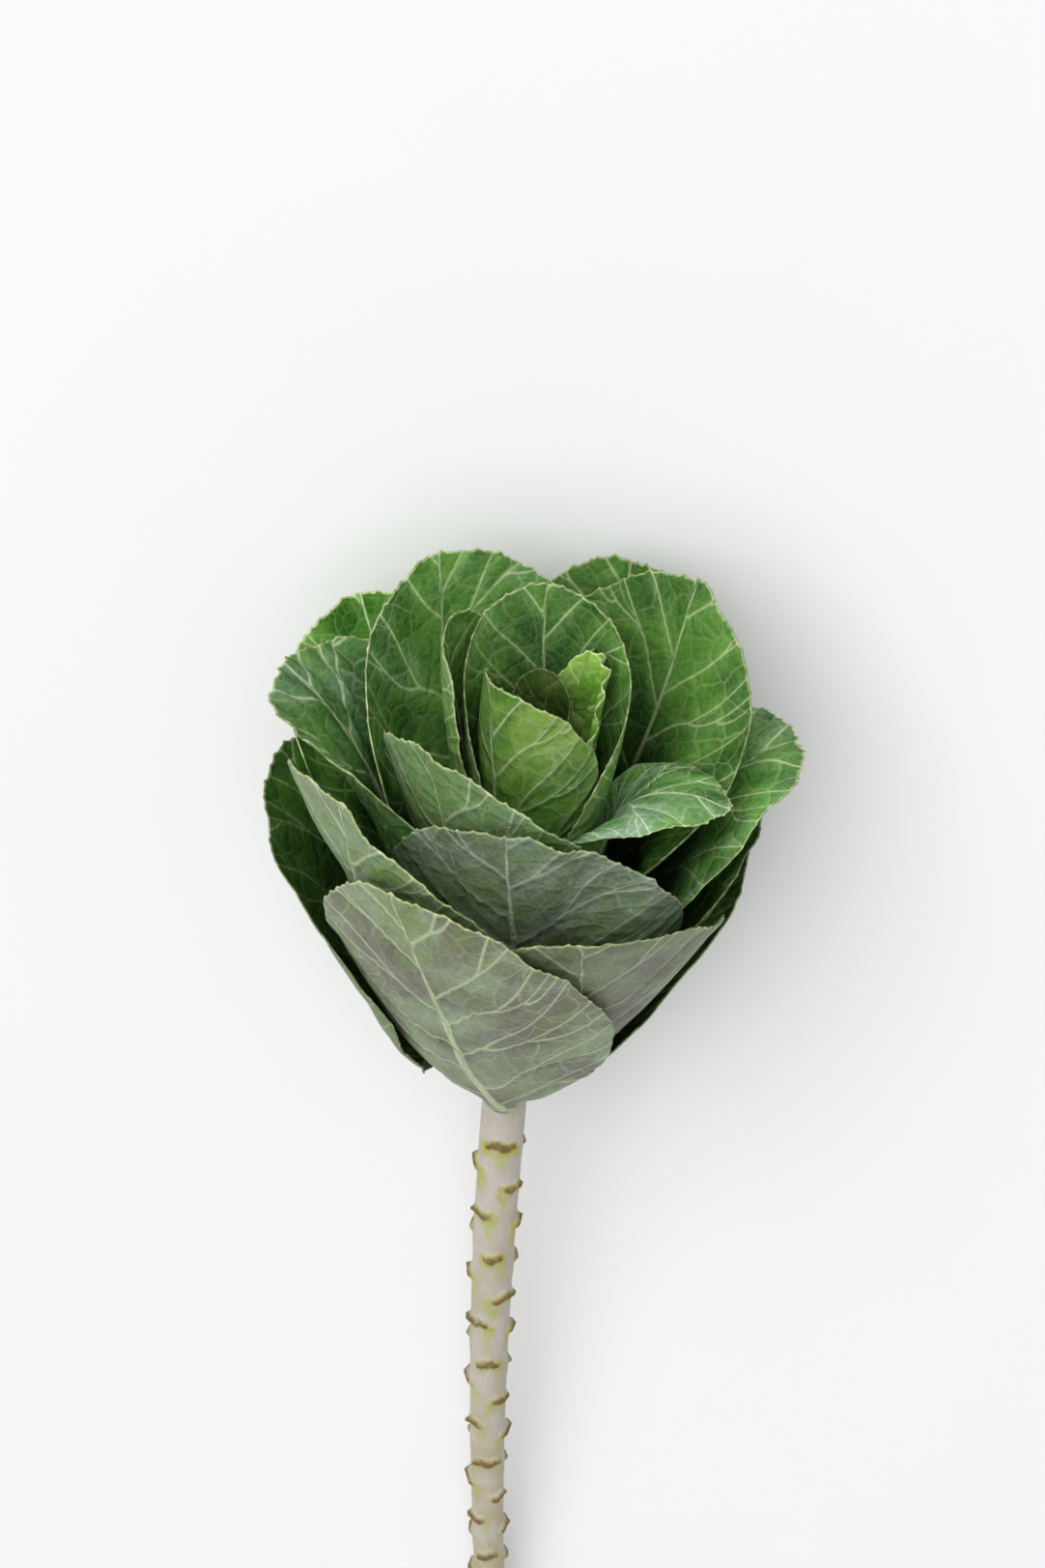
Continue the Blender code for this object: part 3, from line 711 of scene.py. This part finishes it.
def leaf_skin(name, look, inner, inner_deep, outer, outer_deep, outer_rim):
    """A fresh cabbage leaf: a satin green blade that bulges between its pale, netted veins.

    Wax dusts it blue-grey, most of all beside the veins and outside. Side veins are about 0.7 mm
    wide at the midrib and 0.25 mm at the rim, and broader outside. The coarse net between them has
    7 mm meshes and the fine one 2.2 mm. Deeper colour comes in blotches about 22 mm wide, and
    olive in patches of 15 mm. Each leaf's painted light and shade scales the colour, and painted
    shade darkens the inner face towards the stem.
    """
    material, tree, shader = new_skin(
        name, ior=1.45, specular_ior_level=0.35, subsurface_weight=0.08, subsurface_scale=1.0 * MM,
        subsurface_radius=(0.5, 1.0, 0.2),
    )
    math, ramp, mix = "ShaderNodeMath", "ShaderNodeMapRange", "ShaderNodeMix"
    vector, noise, parts = "ShaderNodeVectorMath", "ShaderNodeTexNoise", "ShaderNodeSeparateXYZ"
    soft, colour = {"interpolation_type": "SMOOTHSTEP"}, {"data_type": "RGBA"}
    read = {}
    for key in ("flat", "veins", "pitches", "gauge", "place", "tone"):
        read[key] = add(tree, "ShaderNodeAttribute", output="Vector", attribute_name=key)
    from_rib, from_rim, out = (add(tree, parts, {0: read["gauge"]}, k) for k in "XYZ")
    # the third part is the painted light and shade of the leaf
    apart, outside, painted_light_and_speckle = (add(tree, parts, {0: read["place"]}, k) for k in "XYZ")
    greener, dusted = (add(tree, parts, {0: read["tone"]}, k) for k in "XY")

    # Distance in mm from the nearest of the three families of veins
    half = (0.5, 0.5, 0.5)
    moved = add(tree, vector, {0: read["veins"], 1: half}, operation="ADD")
    part = add(tree, vector, {0: moved}, operation="FRACTION")
    centred = add(tree, vector, {0: part, 1: half}, operation="SUBTRACT")
    away = add(tree, vector, {0: centred}, operation="ABSOLUTE")
    scaled = add(tree, vector, {0: away, 1: read["pitches"]}, operation="MULTIPLY")
    first, second, third = (add(tree, parts, {0: scaled}, k) for k in "XYZ")
    nearest = first
    for other in (second, third):
        nearest = add(tree, math, {0: nearest, 1: other}, operation="MINIMUM")
    width = add(tree, ramp, {"Value": apart, "To Min": VEIN_AT_RIB, "To Max": VEIN_AT_RIM})
    broader = add(tree, ramp, {"Value": outside, "To Min": 1.0, "To Max": VEIN_BROADER_OUTSIDE})
    width = add(tree, math, {0: width, 1: broader}, operation="MULTIPLY")
    relative = add(tree, math, {0: nearest, 1: width}, operation="DIVIDE")

    # The veins, and the net between them on a slightly wandering blade
    wander = add(tree, noise, {"Vector": read["flat"], "Scale": 1 / WANDER, "Detail": 1.0}, "Color")
    wander = add(tree, vector, {0: wander, 1: half}, operation="SUBTRACT")
    wander = add(tree, vector, {0: wander, "Scale": WANDER_REACH}, operation="SCALE")
    bent = add(tree, vector, {0: read["flat"], 1: wander}, operation="ADD")
    coarse, fine = (
        add(
            tree, "ShaderNodeTexVoronoi", {"Vector": bent, "Scale": 1 / mesh_size},
            voronoi_dimensions="2D", feature="DISTANCE_TO_EDGE",
        )
        for mesh_size in (COARSE_NET, FINE_NET)
    )
    side_vein, midrib, net = (
        add(
            tree, ramp, {"Value": value, "From Min": near, "From Max": far, "To Min": most, "To Max": 0.0},
            **soft,
        )
        for value, near, far, most in (
            (relative, 0.3, 1.5, 0.72), (from_rib, 0.5, 1.1, 0.9), (coarse, 0.01, 0.06, 0.34)
        )
    )
    looped = add(tree, ramp, {"Value": apart, "From Max": 0.7, "To Min": 0.3, "To Max": 1.0})
    net = add(tree, math, {0: net, 1: looped}, operation="MULTIPLY")
    lace = add(tree, ramp, {"Value": fine, "From Min": 0.02, "From Max": 0.12, "To Min": 0.1, "To Max": 0.0})
    veins = 0.0
    for kind in (side_vein, midrib, net, lace):
        veins = add(tree, math, {0: veins, 1: kind}, operation="MAXIMUM")

    # Colour
    cloud = add(tree, noise, {"Vector": bent, "Scale": 1 / CLOUD, "Detail": 3.0, "Roughness": 0.6})
    cloud = add(tree, ramp, {"Value": cloud, "From Min": 0.36, "From Max": 0.64}, **soft)
    grain = add(tree, noise, {"Vector": read["flat"], "Scale": 1 / GRAIN, "Detail": 3.0})
    halo = add(tree, ramp, {"Value": nearest, "From Max": 4.5, "To Min": 1.0, "To Max": 0.0})
    # Deeper green towards the stalk: partly the blade's own deeper colour there, partly painted shade deep in
    # the head
    base = add(tree, ramp, {"Value": out, "From Max": 0.75, "To Min": -0.3, "To Max": 0.0})
    pale = add(tree, math, {0: halo, 1: 0.4, 2: base}, operation="MULTIPLY_ADD")
    pale = add(tree, math, {0: cloud, 1: 0.65, 2: pale}, operation="MULTIPLY_ADD", use_clamp=True)
    inside = add(tree, mix, {0: pale, 6: (*inner_deep, 1), 7: (*inner, 1)}, 2, **colour)
    waxed = add(tree, mix, {0: cloud, 6: (*outer_deep, 1), 7: (*outer, 1)}, 2, **colour)
    spread = add(tree, noise, {"Vector": bent, "Scale": 1 / PATCH, "Detail": 2.0, "Roughness": 0.6})
    olive = add(tree, ramp, {"Value": spread, "From Min": 0.5, "From Max": 0.68}, **soft)
    open_blade = add(tree, ramp, {"Value": halo, "To Min": 1.0, "To Max": 0.25})
    near_rim = add(tree, ramp, {"Value": out, "From Min": 0.55, "To Min": 0.35, "To Max": 0.9})
    for share in (open_blade, near_rim):
        olive = add(tree, math, {0: olive, 1: share}, operation="MULTIPLY")
    waxed = add(tree, mix, {0: olive, 6: waxed, 7: (*outer_rim, 1)}, 2, **colour)
    back = add(tree, mix, {0: greener, 6: waxed, 7: (*look.back, 1)}, 2, clamp_factor=True, **colour)
    blade = add(tree, mix, {0: outside, 6: inside, 7: back}, 2, **colour)
    dust, patch, edge, worn, speckle = (
        add(tree, ramp, {"Value": value, "From Min": low, "From Max": high, "To Min": first, "To Max": last})
        for value, low, high, first, last in (
            (grain, 0.35, 0.7, 0.5, 1.0), (spread, 0.36, 0.56, 1.0, 0.15), (from_rim, 0.1, 0.5, 0.9, 0.0),
            (grain, 0.35, 0.6, 0.5, 1.0), (grain, 0.3, 0.7, 0.86, 1.12),
        )
    )
    beside = add(tree, ramp, {"Value": halo, "To Min": 0.35, "To Max": 1.0})
    for share in (patch, beside, dusted):
        dust = add(tree, math, {0: dust, 1: share}, operation="MULTIPLY")
    bright = add(tree, mix, {0: dusted, 6: (*look.vein, 1), 7: (*look.vein_waxed, 1)}, 2, **colour)
    edge = add(tree, math, {0: edge, 1: worn}, operation="MULTIPLY")
    for share, layer in ((dust, (*look.wax, 1)), (veins, bright), (edge, (*look.rim, 1))):
        blade = add(tree, mix, {0: share, 6: blade, 7: layer}, 2, **colour)
    # Painted light and shade, times the grain's speckle of tone, scale the colour
    painted_light_and_speckle = add(tree, math, {0: painted_light_and_speckle, 1: speckle}, operation="MULTIPLY")
    blade = add(tree, vector, {0: blade, "Scale": painted_light_and_speckle}, operation="SCALE")
    tree.links.new(blade, shader.inputs["Base Color"])
    rough = add(tree, ramp, {"Value": grain, "To Min": 0.36, "To Max": 0.6})
    tree.links.new(rough, shader.inputs["Roughness"])

    # Relief: the blade bulges inwards between its veins, so they are sunken inside and raised outside
    height = 0.0
    for value, far, rise in ((nearest, 2.2, 1.0), (coarse, 0.3, 0.6), (fine, 0.3, 0.15)):
        dome = add(tree, ramp, {"Value": value, "From Max": far, "To Max": rise}, **soft)
        height = add(tree, math, {0: height, 1: dome}, operation="ADD")
    sign = add(tree, ramp, {"Value": outside, "To Min": 1.0, "To Max": -1.0})
    height = add(tree, math, {0: height, 1: sign}, operation="MULTIPLY")
    bump = add(tree, "ShaderNodeBump", {"Height": height, "Strength": 0.8, "Distance": 0.4 * MM})
    tree.links.new(bump, shader.inputs["Normal"])
    return material


def stem_skin(look):
    """A woody cabbage stalk: pale, slightly waxy skin, with corky brown scars edged in yellow-green.

    Fibres run lengthwise, about 0.6 mm apart, and the stains are 8 mm long.
    """
    material, tree, shader = new_skin(
        "stalk skin and cork", ior=1.45, subsurface_weight=0.05, subsurface_scale=1.0 * MM
    )
    math, ramp, mix = "ShaderNodeMath", "ShaderNodeMapRange", "ShaderNodeMix"
    noise, colour = "ShaderNodeTexNoise", {"data_type": "RGBA"}
    flat = add(tree, "ShaderNodeAttribute", output="Vector", attribute_name="flat")
    marks = add(tree, "ShaderNodeAttribute", output="Vector", attribute_name="marks")
    scar, edge, age = (add(tree, "ShaderNodeSeparateXYZ", {0: marks}, k) for k in "XYZ")
    longer = (1.0, 1.0, FIBRE_STRETCH)
    stretched = add(tree, "ShaderNodeVectorMath", {0: flat, 1: longer}, operation="MULTIPLY")
    fibre = add(tree, noise, {"Vector": stretched, "Scale": 1 / FIBRE, "Detail": 3.0})
    stain = add(tree, noise, {"Vector": flat, "Scale": 1 / STAIN, "Detail": 4.0})
    crumb = add(tree, noise, {"Vector": flat, "Scale": 1 / CRUMB, "Detail": 4.0})
    tone, ragged = (
        add(tree, ramp, {"Value": value, "From Min": low, "From Max": high, "To Min": first, "To Max": last})
        for value, low, high, first, last in ((stain, 0.38, 0.66, -0.2, 0.6), (crumb, 0.3, 0.7, 0.4, 1.5))
    )
    tone = add(tree, math, {0: tone, 1: age}, operation="ADD", use_clamp=True)
    base = add(tree, mix, {0: tone, 6: (*look.skin, 1), 7: (*look.shade, 1)}, 2, **colour)
    line = add(tree, ramp, {"Value": fibre, "From Min": 0.45, "From Max": 0.8, "To Max": 0.5})
    base = add(tree, mix, {0: line, 6: base, 7: (*look.shade, 1)}, 2, **colour)
    edge = add(tree, math, {0: edge, 1: ragged}, operation="MULTIPLY", use_clamp=True)
    base = add(tree, mix, {0: edge, 6: base, 7: (*look.lip, 1)}, 2, **colour)
    scar = add(tree, math, {0: scar, 1: ragged}, operation="MULTIPLY", use_clamp=True)
    mottle = add(tree, ramp, {"Value": crumb, "From Min": 0.35, "From Max": 0.55})
    wood = add(tree, mix, {0: mottle, 6: (*look.cork_deep, 1), 7: (*look.cork, 1)}, 2, **colour)
    base = add(tree, mix, {0: scar, 6: base, 7: wood}, 2, **colour)
    tree.links.new(base, shader.inputs["Base Color"])
    rough = add(tree, ramp, {"Value": crumb, "To Min": 0.45, "To Max": 0.75})
    tree.links.new(rough, shader.inputs["Roughness"])
    rise = add(tree, math, {0: crumb, 1: scar}, operation="MULTIPLY")
    rise = add(tree, math, {0: rise, 1: fibre}, operation="ADD")
    bump = add(tree, "ShaderNodeBump", {"Height": rise, "Strength": 0.6, "Distance": 0.25 * MM})
    tree.links.new(bump, shader.inputs["Normal"])
    return material


def scar_marks(z, turn, radius):
    """Cork, green edge and relief of the stem's scars, at each height and share of a turn.

    A scar is a lens 5 to 8 mm wide with a sharp upper edge, ragged by two sine waves, that stands
    out as a ledge, a bell curve in height. Green shows below it and round it and runs down from one
    end of it, and it is brightest on the youngest, highest scars.
    """
    cork = np.zeros(np.broadcast(z, turn).shape)
    lip = np.zeros_like(cork)
    relief = np.zeros_like(cork)
    for count in range(int((STEM_BELOW + SCAR_TOP) / SCAR_PITCH)):
        beside = ((turn - count * SCAR_TURN + 0.5) % 1.0 - 0.5) * 2 * np.pi * radius
        lean = np.sin(2.3 * count)
        ragged = 0.45 * np.sin(1.3 * beside + 5 * count) + 0.1 * np.sin(3.9 * beside - 3 * count)
        above = z - (SCAR_TOP - count * SCAR_PITCH) + 0.09 * beside**2 + 0.14 * lean * beside + ragged
        size = 1.0 + 0.25 * np.sin(2.9 * count + 1.0)
        lens = np.sqrt(np.clip(1 - (beside / (SCAR_HALF * size)) ** 2, 0, 1))
        around = np.sqrt(np.clip(1 - (beside / (GREEN_HALF * size)) ** 2, 0, 1))
        brown = smooth((above + 3.1 * lens) / 2.0) * (1 - smooth((above - 0.6 * lens) / 0.7))
        brown = brown * smooth(2 * lens)
        ledge = np.exp(-((above / (0.5 + 0.7 * lens)) ** 2)) * smooth(2 * lens)
        spike = 0.45 * np.exp(-((above / 0.6) ** 2)) * np.exp(-(((beside - 1.6 * lean) / 0.7) ** 2))
        green = smooth((above + 5.0) / 3.0) * (1 - smooth((above - 0.6) / 1.2)) * smooth(1.4 * around)
        down = smooth(-above / 2.0) * (1 - smooth((-above - 4.0) / 7.0))
        run = np.exp(-(((beside + RUN_PLACE * size * np.sign(lean)) / RUN_HALF) ** 2)) * down
        fresh = np.clip(1.15 + z / FADE_HEIGHT, 0.25, 1.0)
        cork = np.maximum(cork, brown)
        lip = np.maximum(lip, fresh * np.maximum(green, 0.85 * run))
        relief = np.maximum(relief, SCAR_OUT * (0.75 * ledge + spike) + 0.35 * brown + 0.2 * green)
    return cork, lip, relief


def hexed(name, description, code):
    """A colour property whose default is an sRGB hex value."""
    return FloatVectorProperty(
        name=name, description=description, subtype="COLOR", size=3, min=0, max=1, default=linear(code)
    )


class CabbageLeafSettings(bpy.types.PropertyGroup):
    """Sizes and colours of the leaves."""

    thickness: FloatProperty(
        name="Blade Thickness", description="Between the two faces of a blade, away from its midrib",
        default=0.5 * MM, min=0.1 * MM, max=0.8 * MM, unit="LENGTH",
    )
    inner: hexed("Inner Face", "Upper face of a leaf, near its veins", "#64993a")
    inner_deep: hexed("Inner Face, Deep", "Upper face of a leaf, between its veins", "#23560b")
    outer: hexed("Outer Face", "Waxy lower face of an outer leaf", "#879876")
    outer_deep: hexed("Outer Face, Deep", "Purplish blotches on the lower face of an outer leaf", "#6c6859")
    outer_rim: hexed("Outer Face, Olive", "Green patches between the veins of a lower face", "#6b8238")
    back: hexed("Green Outer Face", "Lower face of a green leaf", "#6f9450")
    heart: hexed("Heart Leaf", "Both faces of the young leaves", "#86a94b")
    heart_deep: hexed("Heart Leaf, Deep", "Young leaves between their veins", "#497d1a")
    vein: hexed("Vein", "Midrib and veins", "#b6c690")
    vein_waxed: hexed("Waxed Vein", "Midrib and veins under wax", "#cfd4c0")
    rim: hexed("Rim", "The thin edge of a leaf", "#cbd79a")
    wax: hexed("Wax", "Bloom that dusts the leaves", "#9db3a8")


class CabbageStemSettings(bpy.types.PropertyGroup):
    """Colours of the stem."""

    skin: hexed("Skin", "Bare skin of the stem", "#bfb9b4")
    shade: hexed("Skin, Greenish", "Older and fibrous skin", "#b0a786")
    cork: hexed("Cork", "Dry ledge of a leaf scar", "#775b30")
    cork_deep: hexed("Cork, Deep", "Cracks in a leaf scar", "#4a381c")
    lip: hexed("Lip", "Green edge of a leaf scar", "#adae4a")


class CabbageStageSettings(bpy.types.PropertyGroup):
    """The floor and the light."""

    floor: hexed("Floor", "Colour of the floor", "#f1f1f2")
    light: FloatProperty(
        name="Window Light", description="Power of the large soft light", default=162.0, min=0, unit="POWER"
    )
    sky: FloatProperty(name="Room Light", description="Light from all round", default=0.46, min=0)


class CABBAGE_OT_leaves(bpy.types.Operator):
    """Adds every leaf of the head"""

    bl_idname = "cabbage.leaves"
    bl_label = "Add Leaves"

    def execute(self, context):
        look = context.scene.cabbage_leaves
        blade = (look.inner, look.inner_deep)
        waxed = (look.outer, look.outer_deep, look.outer_rim)
        plain = (look.back, look.inner, look.back)
        young = (look.heart, look.heart_deep)
        skins = {
            "grey_green_leaf": leaf_skin("waxed outer leaf", look, *blade, *waxed),
            "green_leaf": leaf_skin("green inner leaf", look, *blade, *plain),
            "heart_leaf": leaf_skin("young heart leaf", look, *young, *young, look.heart),
        }
        bends = nest(LEAVES)
        for leaf in LEAVES:
            add_leaf(leaf, bends, look.thickness / MM, skins[leaf.colour])
        return {"FINISHED"}


class CABBAGE_OT_stem(bpy.types.Operator):
    """Adds the stem with its leaf scars"""

    bl_idname = "cabbage.stem"
    bl_label = "Add Stem"

    def execute(self, context):
        look = context.scene.cabbage_stem
        z = stem_rows(FINE_STEM_STEP)[:, None]
        turn = np.arange(FINE_STEM_SIDES)[None, :] / FINE_STEM_SIDES
        radius = bare_stem_radius(z)
        cork, lip, relief = scar_marks(z, turn, radius)
        rings = stem_points(z, turn, radius + relief)
        rows, columns = rings.shape[:2]
        last = rows * columns
        ends = [list(range(columns - 1, -1, -1)), list(range(last - columns, last))]
        faces = quads(rows, columns, closed=True)[:, ::-1].tolist() + ends
        upright = rings.reshape(-1, 3)
        age = np.clip(-z / STEM_BELOW, 0, 1) * np.ones_like(cork)
        reads = {"flat": upright, "marks": np.stack([cork, lip, 0.5 * age], -1)}
        points = laid(upright)
        points[:, 2] = np.maximum(points[:, 2], 0.0)
        material = stem_skin(look)
        piece = add_piece("stem", points, faces, material, reads)
        return {"FINISHED"}


class CABBAGE_OT_stage(bpy.types.Operator):
    """Adds the floor, the lights and the camera"""

    bl_idname = "cabbage.stage"
    bl_label = "Add Stage"

    def execute(self, context):
        look = context.scene.cabbage_stage
        add_floor(look.floor)
        add_lights(look.light, look.sky)
        add_camera()
        context.scene.view_settings.view_transform = "Standard"
        return {"FINISHED"}


def add_floor(colour):
    """A wide plain floor with a matt paper surface, whose faint mottle is 60 mm wide."""
    corners = [(x * FLOOR_HALF, y * FLOOR_HALF, 0) for x, y in ((-1, -1), (1, -1), (1, 1), (-1, 1))]
    mesh = bpy.data.meshes.new("floor")
    mesh.from_pydata(corners, [], [(0, 1, 2, 3)])
    material, tree, shader = new_skin("matt paper", roughness=0.9)
    place = add(tree, "ShaderNodeTexCoord", output="Object")
    mottle = add(tree, "ShaderNodeTexNoise", {"Vector": place, "Scale": 1 / FLOOR_MOTTLE})
    darker = tuple(0.985 * value for value in colour)
    paper = add(tree, "ShaderNodeMix", {0: mottle, 6: (*colour, 1), 7: (*darker, 1)}, 2, data_type="RGBA")
    tree.links.new(paper, shader.inputs["Base Color"])
    mesh.materials.append(material)
    new_object("floor", mesh)


def add_lights(power, sky):
    """A large window beyond the head, a weaker one over the camera, and an even room light."""
    head = np.array(laid(np.array(VIEW_AIM))) * MM
    for name, offset, size, share in LAMPS:
        lamp = bpy.data.lights.new(name, "AREA")
        lamp.shape = "DISK"
        lamp.size = size
        lamp.energy = power * share
        direction = Matrix(aim_rows(np.array(offset))).to_4x4()
        new_object(name, lamp).matrix_world = Matrix.Translation(head + np.array(offset)) @ direction
    world = bpy.data.worlds.new("room")
    world.use_nodes = True
    background = world.node_tree.nodes["Background"].inputs
    background["Color"].default_value = (1.0, 1.0, 1.0, 1)
    background["Strength"].default_value = sky
    bpy.context.scene.world = world


def aim_rows(back):
    """A turning matrix whose Z points back along a direction, for what looks the other way."""
    z = back / np.linalg.norm(back)
    x = np.cross((0.0, 1.0, 0.0), z)
    x = x / np.linalg.norm(x)
    y = np.cross(z, x)
    return np.stack([x, y, z], 1).tolist()


def add_camera():
    """A camera that sees the upright plant as the photograph does, laid down together with it."""
    tilt, roll = np.radians(VIEW_HEIGHT_ANGLE), np.radians(VIEW_ROLL)
    back = np.array([0.0, -np.cos(tilt), np.sin(tilt)])
    level = np.array([1.0, 0.0, 0.0])
    rising = np.array([0.0, np.sin(tilt), np.cos(tilt)])
    right = level * np.cos(roll) + rising * np.sin(roll)
    up = rising * np.cos(roll) - level * np.sin(roll)
    turned = tipped(np.stack([right, up, back]), LIE_ANGLE)
    place = laid(np.array(VIEW_AIM) + back * VIEW_DISTANCE) * MM
    data = bpy.data.cameras.new("camera")
    data.sensor_fit = "VERTICAL"
    data.sensor_height = SENSOR
    data.lens = SENSOR * VIEW_DISTANCE / MM_PER_PIXEL / PHOTO_HEIGHT
    camera = new_object("camera", data)
    camera.matrix_world = Matrix.Translation(place) @ Matrix(turned.T.tolist()).to_4x4()
    bpy.context.scene.camera = camera


class CABBAGE_PT_panel(bpy.types.Panel):
    """Lists the pieces that can be added"""

    bl_label = "Ornamental Cabbage"
    bl_space_type = "VIEW_3D"
    bl_region_type = "UI"
    bl_category = "Cabbage"

    def draw(self, context):
        for group, (_, operator) in GROUPS.items():
            box = self.layout.box()
            settings = getattr(context.scene, group)
            for key in settings.bl_rna.properties.keys():
                if key not in ("rna_type", "name"):
                    box.prop(settings, key)
            box.operator(operator.bl_idname)


GROUPS = {
    "cabbage_leaves": (CabbageLeafSettings, CABBAGE_OT_leaves),
    "cabbage_stem": (CabbageStemSettings, CABBAGE_OT_stem),
    "cabbage_stage": (CabbageStageSettings, CABBAGE_OT_stage),
}
CLASSES = (*(kind for pair in GROUPS.values() for kind in pair), CABBAGE_PT_panel)


def register():
    for kind in CLASSES:
        bpy.utils.register_class(kind)
    for name, (settings, _) in GROUPS.items():
        setattr(bpy.types.Scene, name, PointerProperty(type=settings))


def unregister():
    for name in GROUPS:
        delattr(bpy.types.Scene, name)
    for kind in reversed(CLASSES):
        bpy.utils.unregister_class(kind)


def main():
    """Adds every piece and the stage."""
    register()
    bpy.ops.cabbage.leaves()
    bpy.ops.cabbage.stem()
    bpy.ops.cabbage.stage()


if __name__ == "__main__":
    main()
